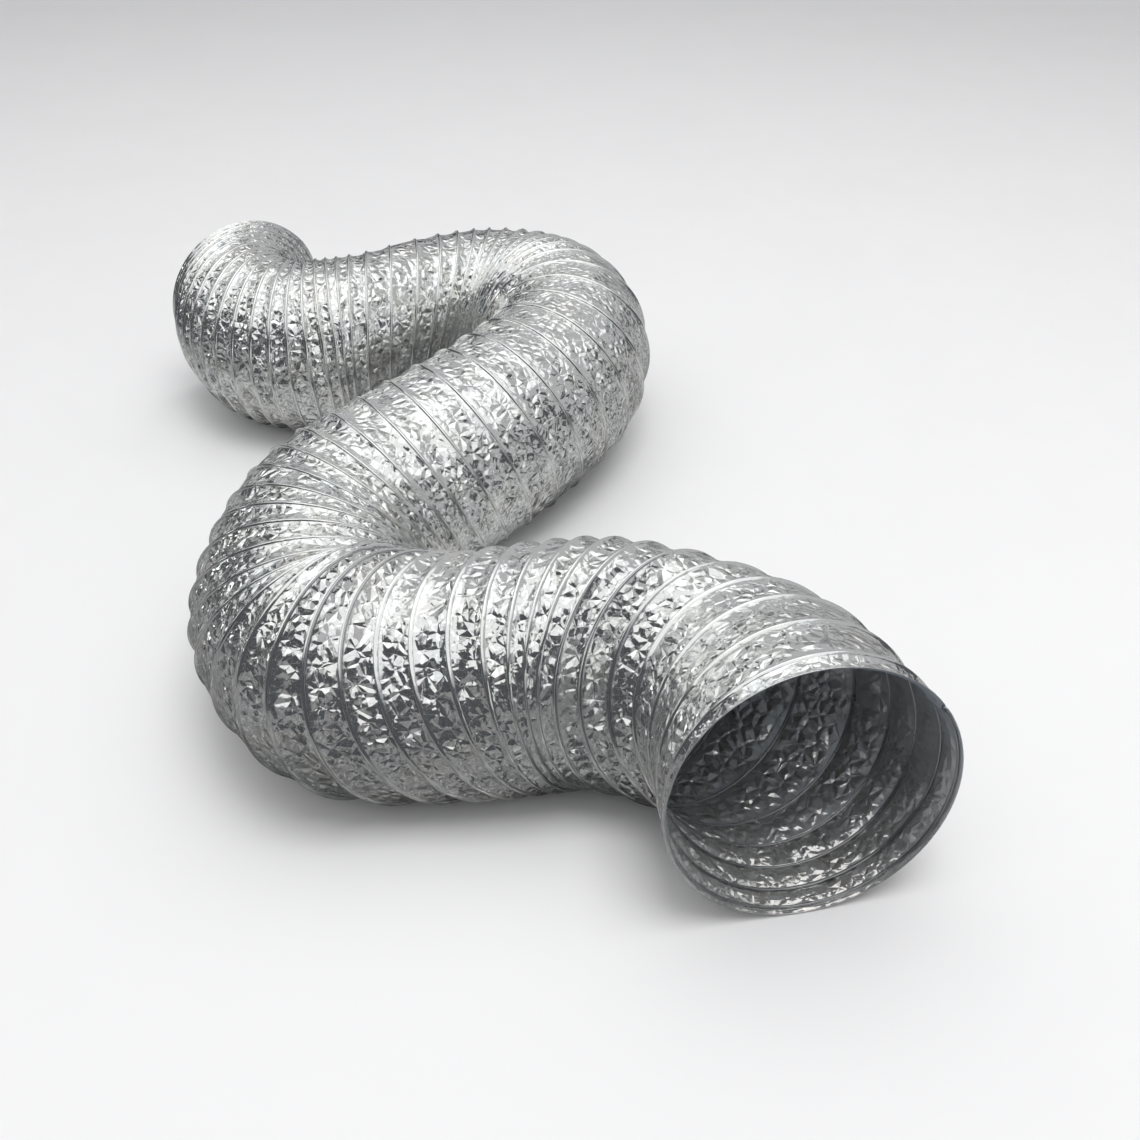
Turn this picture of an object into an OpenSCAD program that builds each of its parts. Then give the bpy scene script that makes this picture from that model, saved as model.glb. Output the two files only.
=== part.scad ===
// Flexible aluminium duct, lying on the floor in three loose bends.
// One length of crinkled foil tube, kept open by a coil of spring wire that runs
// from mouth to mouth. All sizes are in millimetres. Z is up, the floor is at
// zero, X runs along the front run of the duct and Y points away from the viewer.

/* [Duct] */

// Outside diameter over the wire coils
duct_d = 104; // [96:1:112]
// How far the foil sags inwards between two coils, where it hangs slack
wave_depth = 3.5; // [2:0.5:5]
// Distance between two coils at which the foil is drawn tight and sags no more
taut_pitch = 36; // [30:1:60]
// Thickness of the foil wall, both plies and the glue
foil_t = 0.4; // [0.3:0.05:0.5]
// Foil that stands out past the last coil at each mouth
lip = 2; // [1:0.5:4]
// How much wider the near mouth stands open than the rest
near_flare = 7; // [0:1:10]

/* [Wire] */

// Diameter of the spring wire
wire_d = 1.2; // [1:0.1:1.6]
// Number of coils from mouth to mouth
coils = 70; // [64:1:72]

/* [Fineness] */

// Flats in one turn of the foil and of the wire
flats = 15; // [12:1:16]

/* [Hidden] */

// The middle line of the duct, in hundredths of its diameter, from the near
// mouth to the far one: X, Y, the way that the coil there faces and how far its
// top leans that way, both in degrees. The same number of coils lies between each
// two places of the list.
route = [
    [145, -213, 101, 7],
    [132, -163, 111, 28],
    [84, -142, 144, 13],
    [57, -139, 161, 20],
    [22, -141, 156, 29],
    [-20, -145, 144, 8],
    [-46, -108, 114, -24],
    [-48, -73, 84, -24],
    [-39, -27, 52, -28],
    [-11, 4, 32, -22],
    [26, 51, 39, -13],
    [57, 112, 59, -8],
    [55, 168, 107, 4],
    [32, 199, 141, -9],
    [-2, 214, 173, -19],
    [-28, 194, 186, -14],
    [-62, 157, 186, -4],
    [-80, 147, 190, 1],
    [-101, 145, 175, -1],
    [-124, 159, 158, -2],
    [-139, 186, 142, 1],
    [-145, 217, 128, -5]
];
stops = len(route) - 1;

// Radius of the foil on the outside of the wire, and the steepest sag of the
// foil against half the gap between two coils
crest_r = duct_d / 2;
sag_limit = 0.6;

// The near mouth's flare dies away over a few coils, and the wire starts here
// round the mouth, in degrees from the side.
flare_coils = 2.5;
start_angle = 145;

// The wire lies just under the foil. Its round section has three flats.
seat_gap = 0.05;
wire_sides = 3;
wire_r = wire_d / 2;
wire_path_r = crest_r - foil_t - seat_gap - wire_r;

up = [0, 0, 1];

// Place k of the route, with one more place drawn on straight past either end.
function stop(k) =
    k < 0 ? 2 * route[0] - route[1] :
    k > stops ? 2 * route[stops] - route[stops - 1] :
    route[k];

// Smooth curve through four places, at the share f between the middle two.
function through(a, b, c, d, f) =
    b + f / 2 * (c - a)
    + f * f / 2 * (2 * a - 5 * b + 4 * c - d)
    + f * f * f / 2 * (3 * b - 3 * c + d - a);

// How many coils' worth of the route is used up after t turns of the helix. The
// first and last turn start level with the mouth and ease into the helix.
function travel(t) =
    t < 1 ? t * t / 2 :
    t > coils - 1 ? coils - 1 - pow(coils - t, 2) / 2 :
    t - 0.5;

// X, Y, facing angle and lean of the coil after t turns, and the flare there.
function place(t) =
    let (
        q = travel(t) / (coils - 1) * stops,
        k = min(floor(q), stops - 1)
    )
    concat(
        through(stop(k - 1), stop(k), stop(k + 1), stop(k + 2), q - k),
        near_flare / 2 * exp(-travel(t) / flare_coils)
    );

// The coil's own directions, and its middle, which keeps it on the floor.
function level(p) = [cos(p[2]), sin(p[2]), 0];
function facing(p) = cos(p[3]) * level(p) - sin(p[3]) * up;
function sideways(p) = [-sin(p[2]), cos(p[2]), 0];
function upward(p) = cos(p[3]) * up + sin(p[3]) * level(p);
function centre(p) = [p[0], p[1], 0] * duct_d / 100 + (crest_r + p[4]) * cos(p[3]) * up;

// A point of the coil: at the angle a, r from the middle, moved on by s.
function outward(p, a) = cos(a) * sideways(p) + sin(a) * upward(p);
function on_coil(p, a, r, s) = centre(p) + (r + p[4]) * outward(p, a) + s * facing(p);

// The same where the helix is after t turns.
function turned_by(t) = start_angle + 360 * t;
function on_helix(t, r, s = 0) = on_coil(place(t), turned_by(t), r, s);

steps = coils * flats;

// The crest follows the wire.
function crest(j, r) = on_helix(j / flats, r);

// The trough lies midway between a coil and the next, pulled in towards the
// middle of the duct. The foil sags less where the coils crowd, and less again
// where they stand far apart and draw it tight.
function trough(j, inset) =
    let (
        a = crest(j, crest_r),
        b = crest(j + flats, crest_r),
        p = (place(j / flats) + place(j / flats + 1)) / 2,
        pitch = norm(b - a),
        slack = max(0, 1 - pitch / taut_pitch),
        sag = slack * min(wave_depth, sag_limit * pitch / 2)
    )
    (a + b) / 2 - (sag + inset) * outward(p, turned_by(j / flats));

// The mouth is a flat ring, a lip's width past the first or last coil.
function mouth(t, i, r, s) = on_coil(place(t), turned_by(i / flats), r, s);

// All points of one skin of the foil: near mouth, crests, troughs, far mouth.
function skin_points(inset) = concat(
    [for (i = [0 : flats - 1]) mouth(0, i, crest_r - inset, -lip)],
    [for (j = [0 : steps]) crest(j, crest_r - inset)],
    [for (j = [0 : steps - flats]) trough(j, inset)],
    [for (i = [0 : flats - 1]) mouth(coils, i, crest_r - inset, lip)]
);

// Numbers of those points.
function near_at(i) = i % flats;
function crest_at(j) = flats + j;
function trough_at(j) = flats + steps + 1 + j;
function far_at(i) = flats + 2 * (steps + 1) - flats + i % flats;
skin_size = flats + 2 * (steps + 1);

// Two triangles between the lines a-b and c-d.
function quad(a, b, c, d) = [[a, b, c], [b, d, c]];

skin_faces = concat(
    [for (i = [0 : flats - 1], f = quad(near_at(i), near_at(i + 1), crest_at(i), crest_at(i + 1))) f],
    [[near_at(0), crest_at(0), trough_at(0)], [near_at(0), trough_at(0), crest_at(flats)]],
    [for (j = [0 : steps - flats - 1], f = quad(crest_at(j), crest_at(j + 1), trough_at(j), trough_at(j + 1))) f],
    [for (
        j = [0 : steps - flats - 1],
        f = quad(trough_at(j), trough_at(j + 1), crest_at(j + flats), crest_at(j + flats + 1))
    ) f],
    [
        [crest_at(steps - flats), far_at(0), trough_at(steps - flats)],
        [trough_at(steps - flats), far_at(0), crest_at(steps)]
    ],
    [for (
        i = [0 : flats - 1],
        f = quad(crest_at(steps - flats + i), crest_at(steps - flats + i + 1), far_at(i), far_at(i + 1))
    ) f]
);

function turned(faces) = [for (f = faces) [f[0], f[2], f[1]]];
function raised(faces, n) = [for (f = faces) f + [n, n, n]];

// The box round a list of points, and the move that stands it on the origin.
function low(points, k) = min([for (p = points) p[k]]);
function high(points, k) = max([for (p = points) p[k]]);
outer_skin = skin_points(0);
to_origin = -[
    (low(outer_skin, 0) + high(outer_skin, 0)) / 2,
    (low(outer_skin, 1) + high(outer_skin, 1)) / 2,
    low(outer_skin, 2)
];

// A corner of the wire's section after j steps of the helix.
function wire_corner(j, k) =
    let (a = 360 * k / wire_sides)
    on_helix(j / flats, wire_path_r + wire_r * cos(a), wire_r * sin(a));

function wire_at(j, k) = j * wire_sides + k % wire_sides;

// The foil: an outer and an inner skin, joined round both mouths.
module foil_tube() {
    rims = concat(
        [for (i = [0 : flats - 1], f = quad(
            near_at(i + 1), near_at(i), skin_size + near_at(i + 1), skin_size + near_at(i)
        )) f],
        [for (i = [0 : flats - 1], f = quad(
            far_at(i), far_at(i + 1), skin_size + far_at(i), skin_size + far_at(i + 1)
        )) f]
    );
    color("silver")
    translate(to_origin)
    polyhedron(
        points = concat(outer_skin, skin_points(foil_t)),
        faces = concat(skin_faces, raised(turned(skin_faces), skin_size), rims),
        convexity = 20
    );
}

// The spring wire: one long helix with closed ends.
module wire_helix() {
    points = [for (j = [0 : steps], k = [0 : wire_sides - 1]) wire_corner(j, k)];
    sides = [for (j = [0 : steps - 1], k = [0 : wire_sides - 1], f = quad(
        wire_at(j, k), wire_at(j, k + 1), wire_at(j + 1, k), wire_at(j + 1, k + 1)
    )) f];
    ends = [
        [for (k = [wire_sides - 1 : -1 : 0]) wire_at(0, k)],
        [for (k = [0 : wire_sides - 1]) wire_at(steps, k)]
    ];
    color("gray")
    translate(to_origin)
    polyhedron(points = points, faces = concat(sides, ends), convexity = 20);
}

foil_tube();
wire_helix();
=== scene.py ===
import math

import bmesh
import bpy
import numpy as np
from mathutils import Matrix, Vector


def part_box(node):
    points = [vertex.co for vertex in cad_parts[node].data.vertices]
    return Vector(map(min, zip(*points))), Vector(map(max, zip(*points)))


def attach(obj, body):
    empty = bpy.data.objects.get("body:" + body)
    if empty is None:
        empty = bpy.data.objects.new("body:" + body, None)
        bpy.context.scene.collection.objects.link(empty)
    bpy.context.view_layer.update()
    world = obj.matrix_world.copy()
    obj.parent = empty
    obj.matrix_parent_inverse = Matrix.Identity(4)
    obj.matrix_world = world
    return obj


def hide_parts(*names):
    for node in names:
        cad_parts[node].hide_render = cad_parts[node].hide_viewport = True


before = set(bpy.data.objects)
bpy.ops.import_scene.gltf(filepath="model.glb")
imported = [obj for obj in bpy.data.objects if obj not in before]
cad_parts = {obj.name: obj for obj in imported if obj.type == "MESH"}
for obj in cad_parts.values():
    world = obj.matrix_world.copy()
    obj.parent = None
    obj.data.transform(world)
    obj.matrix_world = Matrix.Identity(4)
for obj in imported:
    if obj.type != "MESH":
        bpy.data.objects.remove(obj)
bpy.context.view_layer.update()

# The duct's sizes in metres, as in the part
DUCT_D = 0.104
WAVE_DEPTH = 0.0035
TAUT_PITCH = 0.036
LIP = 0.002
NEAR_FLARE = 0.007
FOIL_T = 0.0004
WIRE_D = 0.0012
SEAT_GAP = 0.00005
COILS = 70
FLATS = 15
FLARE_COILS = 2.5
START_ANGLE = math.radians(145)
CREST_R = DUCT_D / 2
WIRE_PATH_R = CREST_R - FOIL_T - SEAT_GAP - WIRE_D / 2

# The middle line, as in the part: X and Y in hundredths of the diameter, the way
# that the coil there faces and how far its top leans that way, in degrees
ROUTE_UNIT = DUCT_D / 100
ROUTE = np.array([
    [145, -213, 101, 7],
    [132, -163, 111, 28],
    [84, -142, 144, 13],
    [57, -139, 161, 20],
    [22, -141, 156, 29],
    [-20, -145, 144, 8],
    [-46, -108, 114, -24],
    [-48, -73, 84, -24],
    [-39, -27, 52, -28],
    [-11, 4, 32, -22],
    [26, 51, 39, -13],
    [57, 112, 59, -8],
    [55, 168, 107, 4],
    [32, 199, 141, -9],
    [-2, 214, 173, -19],
    [-28, 194, 186, -14],
    [-62, 157, 186, -4],
    [-80, 147, 190, 1],
    [-101, 145, 175, -1],
    [-124, 159, 158, -2],
    [-139, 186, 142, 1],
    [-145, 217, 128, -5],
], float)

# The camera, placed as the route is, in hundredths of the diameter
CAMERA_PLACE = (62, -480, 345)
CAMERA_PITCH = math.radians(36.4)
CAMERA_LENS = 36.0
SENSOR_WIDTH = 36.0


# The route

def place(t):
    """X, Y, facing, lean and flare of the coil after t turns."""
    used = np.where(t < 1, t * t / 2, t - 0.5)
    used = np.where(t > COILS - 1, COILS - 1 - (COILS - t) ** 2 / 2, used)
    last = len(ROUTE) - 1
    path = np.vstack([2 * ROUTE[0] - ROUTE[1], ROUTE, 2 * ROUTE[-1] - ROUTE[-2]])
    q = used / (COILS - 1) * last
    k = np.minimum(q.astype(int), last - 1)
    f = (q - k)[:, None]
    a, b, c, d = (path[k + n] for n in range(4))
    spot = (b + f / 2 * (c - a) + f ** 2 / 2 * (2 * a - 5 * b + 4 * c - d)
            + f ** 3 / 2 * (3 * b - 3 * c + d - a))
    return spot, NEAR_FLARE / 2 * np.exp(-used / FLARE_COILS)


def helix(t, radius, along=0.0, turned=None):
    """Points after t turns, moved on along the duct, with outward and forward directions.

    Where turned is given, the points go round by that many turns instead."""
    spot, flare = place(np.clip(t, 0, COILS))
    yaw = np.radians(spot[:, 2])
    lean = np.radians(spot[:, 3])
    level = np.stack([np.cos(yaw), np.sin(yaw), 0 * yaw], 1)
    side = np.stack([-np.sin(yaw), np.cos(yaw), 0 * yaw], 1)
    plumb = np.array([0.0, 0.0, 1.0])
    up = np.cos(lean)[:, None] * plumb + np.sin(lean)[:, None] * level
    forward = np.cos(lean)[:, None] * level - np.sin(lean)[:, None] * plumb
    middle = np.zeros((len(t), 3))
    middle[:, :2] = spot[:, :2] * ROUTE_UNIT
    middle[:, 2] = (CREST_R + flare) * np.cos(lean)
    angle = 2 * math.pi * (t if turned is None else turned) + START_ANGLE
    out = np.cos(angle)[:, None] * side + np.sin(angle)[:, None] * up
    reach = radius + flare
    shift = np.broadcast_to(along, t.shape)
    return middle + reach[:, None] * out + shift[:, None] * forward, out, forward


# The part's crest line and its two mouths fill its box, so they place this one
flat_turns = np.arange(FLATS) / FLATS
part_skin = np.vstack([
    helix(np.arange(COILS * FLATS + 1) / FLATS, CREST_R)[0],
    helix(np.zeros(FLATS), CREST_R, -LIP, flat_turns)[0],
    helix(np.full(FLATS, COILS), CREST_R, LIP, flat_turns)[0],
])
TO_FRAME = np.array(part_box("foil_tube")[0]) - part_skin.min(0)


# Meshes

# Points that lie closer than this are one
TINY = 1e-6


def wrapped(columns, rows, where):
    """A grid of columns by rows, laid round the duct by where(column, row)."""
    bm = bmesh.new()
    bmesh.ops.create_grid(bm, x_segments=columns, y_segments=rows, size=1)
    flat = np.array([v.co for v in bm.verts])
    column = np.rint((flat[:, 0] + 1) / 2 * columns).astype(int)
    row = np.rint((flat[:, 1] + 1) / 2 * rows).astype(int)
    for vert, co in zip(bm.verts, where(column, row) + TO_FRAME):
        vert.co = co
    return bm, column, row


def finished(bm, name, materials, replaced):
    """The piece made of bm, in place of the part's own node."""
    bmesh.ops.recalc_face_normals(bm, faces=bm.faces)
    mesh = bpy.data.meshes.new(name)
    bm.to_mesh(mesh)
    bm.free()
    for material in materials:
        mesh.materials.append(material)
    piece = bpy.data.objects.new(name, mesh)
    bpy.context.scene.collection.objects.link(piece)
    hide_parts(replaced)
    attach(piece, "root")
    return piece


# Shader maths

class Value:
    """A socket of a node, for use in sums."""

    def __init__(self, tree, socket):
        self.tree = tree
        self.socket = socket

    def node(self, kind, settings, inputs, output=0):
        made = self.tree.nodes.new(kind)
        for key, value in settings.items():
            setattr(made, key, value)
        for key, value in inputs.items():
            if isinstance(value, Value):
                self.tree.links.new(value.socket, made.inputs[key])
            else:
                made.inputs[key].default_value = value
        return Value(self.tree, made.outputs[output])

    def sum(self, operation, a, b):
        return self.node("ShaderNodeMath", {"operation": operation}, {0: a, 1: b})

    def vector(self, operation, other, output=0):
        settings = {"operation": operation}
        return self.node("ShaderNodeVectorMath", settings, {0: self, 1: other}, output)

    def dot(self, other):
        return self.vector("DOT_PRODUCT", other, 1)

    def __add__(self, other):
        return self.sum("ADD", self, other)

    def __radd__(self, other):
        return self.sum("ADD", other, self)

    def __rsub__(self, other):
        return self.sum("SUBTRACT", other, self)

    def __mul__(self, other):
        return self.sum("MULTIPLY", self, other)

    def __rmul__(self, other):
        return self.sum("MULTIPLY", other, self)

    def __pow__(self, other):
        return self.sum("POWER", self, other)

    def feeds(self, socket):
        self.tree.links.new(self.socket, socket)


def surface(name):
    """A new material with its shader and the place on the object."""
    material = bpy.data.materials.new(name)
    material.use_nodes = True
    tree = material.node_tree
    coordinates = tree.nodes.new("ShaderNodeTexCoord")
    return material, tree.nodes["Principled BSDF"], Value(tree, coordinates.outputs["Object"])


def mix(factor, a, b):
    """A colour between two, by the colour sockets of a Mix node."""
    return factor.node("ShaderNodeMix", {"data_type": "RGBA"}, {0: factor, 6: a, 7: b}, 2)


def noise(at, scale):
    return at.node("ShaderNodeTexNoise", {}, {"Vector": at, "Scale": scale, "Detail": 2.0})


def patches(at, scale, contrast):
    """About 1 on average, and further from it in places the higher the contrast."""
    return (2.0 * noise(at, scale)) ** contrast


def facets(at, scale):
    """Height of a surface that is broken into flat facets, each tilted its own way."""
    cells = {"Vector": at, "Scale": scale}
    tilt = at.node("ShaderNodeTexVoronoi", {}, cells, 1).vector("SUBTRACT", (0.5, 0.5, 0.5))
    middle = at.node("ShaderNodeTexVoronoi", {}, cells, 2)
    return at.vector("SUBTRACT", middle).dot(tilt)


def creased(at, scale):
    """Height of a sheet crushed into small pyramids that meet in sharp creases."""
    settings = {"feature": "DISTANCE_TO_EDGE"}
    cells = {"Vector": at, "Scale": scale}
    return at.node("ShaderNodeTexVoronoi", settings, cells) * (1 / scale)


# The finishes. Each pattern has its number of cells in a metre, and the creases
# have how steep they stand.

FLAKES = 140.0
FLAKE_SLOPE = 0.32
CREASES = 180.0
CREASE_SLOPE = 0.38
CRUSHED_PATCHES = 90.0
SPLINTERS = 340.0
SPLINTER_SLOPE = 0.18
SPLINTERED_PATCHES = 50.0
TINT_PATCHES = 60.0
POLISH_PATCHES = 240.0
POLISH = 0.04
POLISH_SPREAD = 0.20

WARM_OUTSIDE = (0.94, 0.925, 0.88, 1)
COOL_OUTSIDE = (0.87, 0.91, 0.92, 1)
METALLIC_OUTSIDE = 0.94
WARM_INSIDE = (0.95, 0.92, 0.86, 1)
COOL_INSIDE = (0.90, 0.91, 0.90, 1)
METALLIC_INSIDE = 0.82

# The foil inside is duller and smoother higher up, and its colour is darkened there towards a blue grey
# as painted shade
UPPER_DULL_AND_SHADE = 0.85
UPPER_PAINTED_SHADE = (0.35, 0.42, 0.51, 1)
UPPER_ROUGH = 0.50
UPPER_CALM = 2.0

BRIGHT_WIRE = (0.64, 0.65, 0.66, 1)
DARK_WIRE = (0.50, 0.51, 0.53, 1)
DRAWN_PATCHES = 160.0
WIRE_ROUGH = 0.18
WIRE_ROUGH_SPREAD = 0.24


def foil_material(name, warm, cool, metallic, dull_and_shade):
    """Crinkled foil between a warm and a cool grey. Higher up, by the given share, it is duller and its
    colour darkens as painted shade.
    """
    material, shader, at = surface(name)
    crinkle = at.node("ShaderNodeAttribute", {"attribute_name": "crinkle"}, {}, 2)
    crushed = patches(at, CRUSHED_PATCHES, contrast=2.0)
    splintered = patches(at, SPLINTERED_PATCHES, contrast=3.0)
    height = crinkle * (FLAKE_SLOPE * facets(at, FLAKES)
                        + crushed * CREASE_SLOPE * creased(at, CREASES)
                        + splintered * SPLINTER_SLOPE * facets(at, SPLINTERS))
    roughness = POLISH + POLISH_SPREAD * noise(at, POLISH_PATCHES)
    colour = mix(noise(at, TINT_PATCHES), warm, cool)
    if dull_and_shade:
        upper = at.dot((0.0, 0.0, dull_and_shade / DUCT_D))
        height = height * (1.0 - upper) ** UPPER_CALM
        roughness = roughness + UPPER_ROUGH * upper
        # Painted shade: higher up, the colour is mixed towards a dark blue grey
        colour = mix(upper, colour, UPPER_PAINTED_SHADE)
    bump = at.node("ShaderNodeBump", {}, {"Strength": 1.0, "Distance": 1.0, "Height": height})
    bump.feeds(shader.inputs["Normal"])
    colour.feeds(shader.inputs["Base Color"])
    roughness.feeds(shader.inputs["Roughness"])
    shader.inputs["Metallic"].default_value = metallic
    return material


def wire_material():
    material, shader, at = surface("spring_wire")
    drawn = noise(at, DRAWN_PATCHES)
    mix(drawn, BRIGHT_WIRE, DARK_WIRE).feeds(shader.inputs["Base Color"])
    (WIRE_ROUGH + WIRE_ROUGH_SPREAD * drawn).feeds(shader.inputs["Roughness"])
    shader.inputs["Metallic"].default_value = 1.0
    return material


# The foil: a strip as wide as the pitch, wound from mouth to mouth. The bead over
# the wire is given by how far from the crest line its rows lie, and how deep.

FOIL_COLUMNS = 84
FOIL_ROWS = 8
FOIL_SKIN = 0.0002
BEAD_TOP = (0.0, 0.0)
BEAD_SIDE = (0.00048, 0.00015)
BEAD_FOOT = (0.00100, 0.00095)
BAND_EDGE = 0.0024
FULL_PITCH = 0.009
SAG_SHARE = 0.3
MOUTH_EASE = 0.06
JITTER_ALONG = 0.0010
JITTER_ROUND = 0.0009
JITTER_DEEP = 0.0004
DENT_DEEP = 0.0002
DENT_COLUMNS = 8
DENT_SEED = 11
MOUTH_CALM = 0.8
JITTER_BY_ROW = [0, 0, 0, 0.7, 1]
CRINKLE_BY_ROW = [0, 0, 0.1, 1, 1]


def edge_line(t):
    """The crest line, run on past either mouth as the level cut edge of the foil."""
    past = np.clip((t - COILS) / MOUTH_EASE, 0, 1) - np.clip(-t / MOUTH_EASE, 0, 1)
    return helix(t, CREST_R, LIP * past)


def strip_places(column, row):
    """For each corner of the strip: its turn, the rows to the nearer edge, and its calm."""
    t = column / FOIL_COLUMNS - 1
    calm = np.where((t < 0) | (t > COILS - 1), MOUTH_CALM, 1)
    return t, np.minimum(row, FOIL_ROWS - row), calm


def foil_strip(column, row):
    rng = np.random.RandomState(DENT_SEED)
    t, near, calm = strip_places(column, row)
    start, out, _ = edge_line(t)
    end, out_end, _ = edge_line(t + 1)
    out = out + out_end
    out /= np.linalg.norm(out, axis=1)[:, None]
    across = end - start
    pitch = np.linalg.norm(across, axis=1)
    wide = np.maximum(pitch, TINY)
    across /= wide[:, None]
    round_way = np.cross(across, out)

    full = np.minimum(1, pitch / FULL_PITCH)
    quarter = np.maximum(full * BAND_EDGE, pitch / 4)
    along = np.choose(near, [
        full * BEAD_TOP[0], full * BEAD_SIDE[0], full * BEAD_FOOT[0], quarter, pitch / 2,
    ])
    slack = np.maximum(0, 1 - pitch / TAUT_PITCH)
    sag = slack * np.minimum(WAVE_DEPTH, SAG_SHARE * pitch)
    foot = BEAD_FOOT[1] * full
    hang = np.sin(math.pi * np.clip(along / wide, 0, 0.5))
    band = foot + np.maximum(sag - foot, 0) * hang
    depth = np.choose(near, [full * BEAD_TOP[1], full * BEAD_SIDE[1], foot, band, band])

    count = len(t)
    size = np.choose(near, JITTER_BY_ROW) * full * calm
    dents = np.convolve(rng.normal(size=column.max() + 1), np.hanning(DENT_COLUMNS), "same")
    dents /= dents.std()
    depth = depth + size * (rng.uniform(-1, 1, count) * JITTER_DEEP + dents[column] * DENT_DEEP)
    along = along + size * rng.uniform(-1, 1, count) * JITTER_ALONG
    along = np.where(row * 2 > FOIL_ROWS, pitch - along, along)
    shift = size * rng.uniform(-1, 1, count) * JITTER_ROUND
    return start + across * along[:, None] - out * depth[:, None] + round_way * shift[:, None]


def crinkled_foil():
    bm, column, row = wrapped(FOIL_COLUMNS * (COILS + 1), FOIL_ROWS, foil_strip)
    t, near, calm = strip_places(column, row)
    pitch = np.linalg.norm(edge_line(t + 1)[0] - edge_line(t)[0], axis=1)
    amount = np.choose(near, CRINKLE_BY_ROW) * np.minimum(1, pitch / FULL_PITCH) * calm
    crinkle = bm.verts.layers.float.new("crinkle")
    for vert, its_amount, its_near in zip(bm.verts, amount, near):
        vert[crinkle] = its_amount
        vert.tag = bool(its_near < 2)
    for face in bm.faces:
        face.smooth = any(vert.tag for vert in face.verts)
    for edge in bm.edges:
        edge.smooth = len({face.smooth for face in edge.link_faces}) < 2
    bmesh.ops.remove_doubles(bm, verts=bm.verts, dist=TINY)
    flat_faces = [face for face in bm.faces if not face.smooth]
    bmesh.ops.triangulate(bm, faces=flat_faces, quad_method="SHORT_EDGE")

    outside = foil_material("crinkled_foil", WARM_OUTSIDE, COOL_OUTSIDE, METALLIC_OUTSIDE, 0)
    inside = foil_material("foil_inside", WARM_INSIDE, COOL_INSIDE, METALLIC_INSIDE, UPPER_DULL_AND_SHADE)
    piece = finished(bm, "crinkled_foil", [outside, inside], "foil_tube")
    wall = piece.modifiers.new("wall", "SOLIDIFY")
    wall.thickness = FOIL_SKIN
    wall.offset = -1
    wall.material_offset = 1


# The wire: a round rod wound under the crest line, with closed ends

WIRE_COLUMNS = 56
WIRE_SIDES = 6


def wire_skin(column, row):
    angle = 2 * math.pi * row / WIRE_SIDES
    spot, out, forward = helix(column / WIRE_COLUMNS, WIRE_PATH_R)
    return spot + WIRE_D / 2 * (np.cos(angle)[:, None] * out + np.sin(angle)[:, None] * forward)


def spring_wire():
    bm, _, _ = wrapped(WIRE_COLUMNS * COILS, WIRE_SIDES, wire_skin)
    bmesh.ops.remove_doubles(bm, verts=bm.verts, dist=TINY)
    bmesh.ops.holes_fill(bm, edges=[edge for edge in bm.edges if edge.is_boundary])
    for face in bm.faces:
        face.smooth = True
    finished(bm, "spring_wire", [wire_material()], "wire_helix")


crinkled_foil()
spring_wire()


# The studio. The floor lies just under the duct. A card over it and a screen round
# the set are seen in the foil's reflections only.

STAGE_ROUGH = 0.9
FLOOR_WIDTH = 14.0
FLOOR_HEIGHT = -0.0004
FLOOR_COLOUR = (0.93, 0.93, 0.93, 1)
CARD_WIDTH = 3.0
CARD_HEIGHT = -0.0003
CARD_BLACK = (0, 0, 0, 1)
CARD_WHITE = (0.66, 0.66, 0.66, 1)
CARD_BROAD_PATCHES = 9.0
CARD_SMALL_PATCHES = 45.0
CARD_FRONT_SHARE = 0.29
CARD_BACK_SHARE = 0.28
CARD_RISE = (1.5, 5.0, 0.0)
CARD_RISE_START = 0.9
SCREEN_COLOUR = (0.024, 0.03, 0.0375, 1)
SCREEN_FACES = 64
SCREEN_R = 1.6
SCREEN_HEIGHT = 0.85
SCREEN_TILT_BACK = 0.65
SCREEN_TILT_RIGHT = 0.40
ROOM_COLOUR = (0.42, 0.42, 0.43, 1)


def plain_material(name, colour):
    material, shader, _ = surface(name)
    shader.inputs["Base Color"].default_value = colour
    shader.inputs["Roughness"].default_value = STAGE_ROUGH
    return material


def card_material():
    """Grey in patches, brighter towards the back right. Seen in reflections only, it is a painted
    reflection of the floor: painted shade in its grey and patches, painted light in its rise towards the
    back right.
    """
    material, shader, at = surface("painted_reflection_card")
    shader.inputs["Roughness"].default_value = STAGE_ROUGH
    broad = patches(at, CARD_BROAD_PATCHES, contrast=2.0)
    small = patches(at, CARD_SMALL_PATCHES, contrast=3.0)
    settings = {"operation": "ADD", "use_clamp": True}
    behind = at.node("ShaderNodeMath", settings, {0: at.dot(CARD_RISE), 1: CARD_RISE_START})
    # Painted reflection: darker patches as painted shade, lighter towards the back right as painted
    # light
    share = broad * small * (CARD_FRONT_SHARE + CARD_BACK_SHARE * behind)
    mix(share, CARD_BLACK, CARD_WHITE).feeds(shader.inputs["Base Color"])
    return material


def stage_piece(bm, name, material, reflection_only=False):
    mesh = bpy.data.meshes.new(name)
    bm.to_mesh(mesh)
    bm.free()
    mesh.materials.append(material)
    piece = bpy.data.objects.new(name, mesh)
    if reflection_only:
        piece.visible_camera = False
        piece.visible_diffuse = False
        piece.visible_shadow = False
    bpy.context.scene.collection.objects.link(piece)


def level_sheet(name, width, height, material, reflection_only=False):
    bm = bmesh.new()
    bmesh.ops.create_grid(bm, x_segments=1, y_segments=1, size=width / 2)
    bmesh.ops.translate(bm, verts=bm.verts, vec=(0, 0, height))
    stage_piece(bm, name, material, reflection_only)


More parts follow.
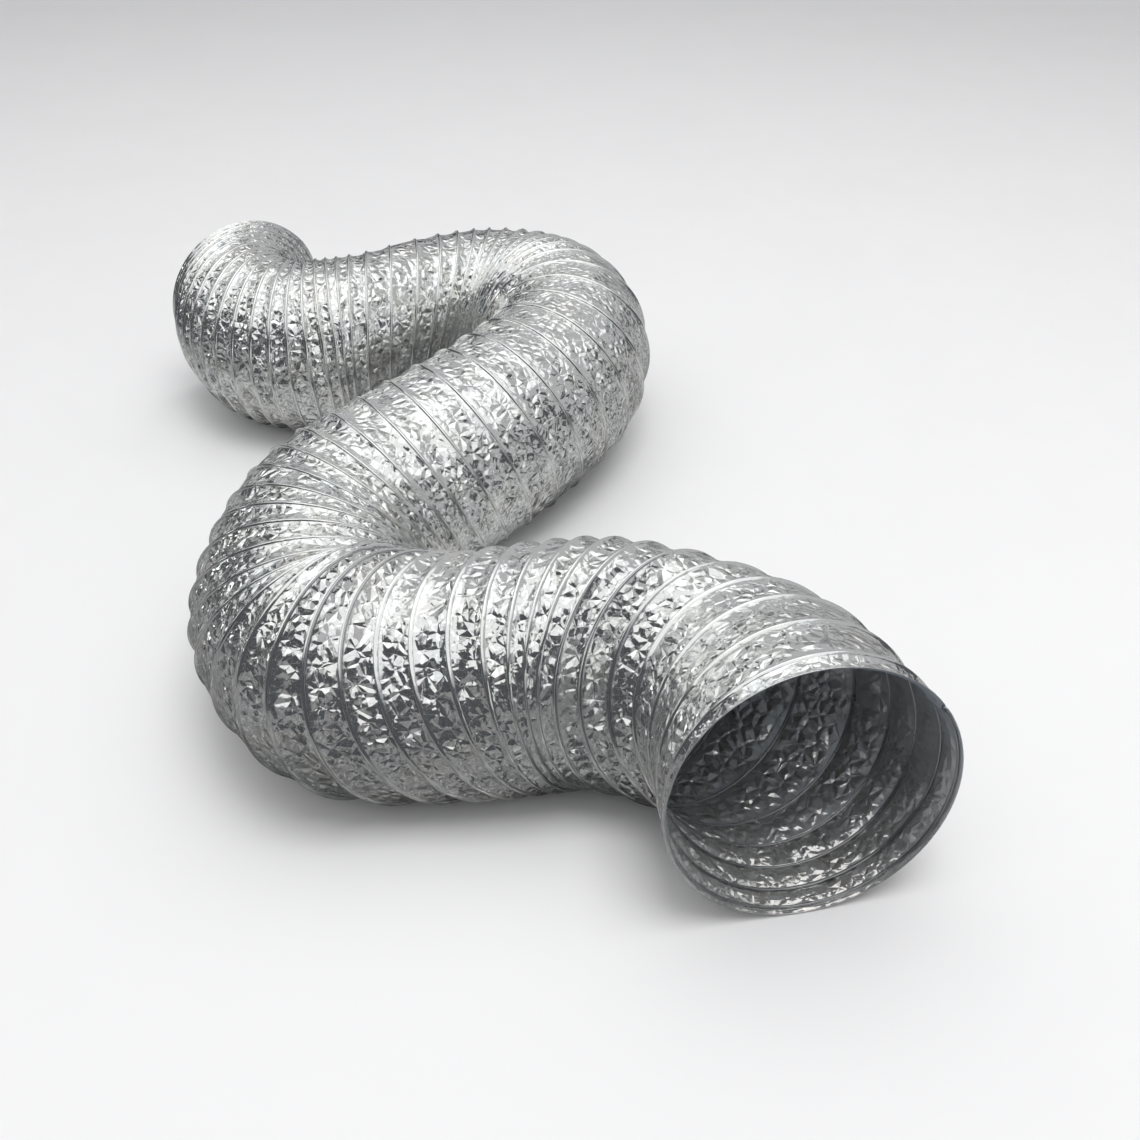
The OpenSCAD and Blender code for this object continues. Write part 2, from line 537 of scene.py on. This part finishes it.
def dark_screen():
    """A dark screen round the set, higher in front and at the left."""
    bm = bmesh.new()
    bmesh.ops.create_circle(bm, segments=SCREEN_FACES, radius=SCREEN_R)
    raised = bmesh.ops.extrude_edge_only(bm, edges=bm.edges[:])["geom"]
    for vert in raised:
        if isinstance(vert, bmesh.types.BMVert):
            drop = SCREEN_TILT_BACK * vert.co.y + SCREEN_TILT_RIGHT * vert.co.x
            vert.co.z = SCREEN_HEIGHT - drop / SCREEN_R
    material = plain_material("dark_screen", SCREEN_COLOUR)
    stage_piece(bm, "dark_screen", material, reflection_only=True)


def softbox(name, place_at, turn, width, height, brightness, in_reflections=True):
    light = bpy.data.lights.new(name, "AREA")
    light.shape = "RECTANGLE"
    light.size = width
    light.size_y = height
    light.energy = math.pi * width * height * brightness
    lamp = bpy.data.objects.new(name, light)
    lamp.location = place_at
    lamp.rotation_euler = turn
    lamp.visible_glossy = in_reflections
    bpy.context.scene.collection.objects.link(lamp)


DOWN = (0, 0, 0)
TO_THE_RIGHT = (0, -math.pi / 2, 0)

level_sheet("floor", FLOOR_WIDTH, FLOOR_HEIGHT, plain_material("floor", FLOOR_COLOUR))
# The card is a painted reflection: the floor as seen in the foil, darkened as painted shade
level_sheet("painted_reflection_card", CARD_WIDTH, CARD_HEIGHT, card_material(), reflection_only=True)
dark_screen()
softbox("overhead_softbox", (0.0, 0.0, 1.6), DOWN, width=3.0, height=3.0, brightness=0.50)
softbox("bright_softbox", (0.1, 0.3, 1.58), DOWN, width=1.2, height=1.2, brightness=0.44)
softbox("side_softbox", (-1.5, 0.1, 0.6), TO_THE_RIGHT, width=0.25, height=0.7, brightness=1.8)
softbox("key_lamp", (0.3, -0.4, 1.55), DOWN, width=0.8, height=0.8, brightness=4.0, in_reflections=False)

world = bpy.data.worlds.new("room")
bpy.context.scene.world = world
world.use_nodes = True
world.node_tree.nodes["Background"].inputs["Color"].default_value = ROOM_COLOUR

camera = bpy.data.cameras.new("camera")
camera.sensor_width = SENSOR_WIDTH
camera.lens = CAMERA_LENS
viewer = bpy.data.objects.new("camera", camera)
viewer.location = np.array(CAMERA_PLACE) * ROUTE_UNIT + TO_FRAME
viewer.rotation_euler = (math.pi / 2 - CAMERA_PITCH, 0, 0)
bpy.context.scene.collection.objects.link(viewer)
bpy.context.scene.camera = viewer
bpy.context.scene.view_settings.view_transform = "Standard"
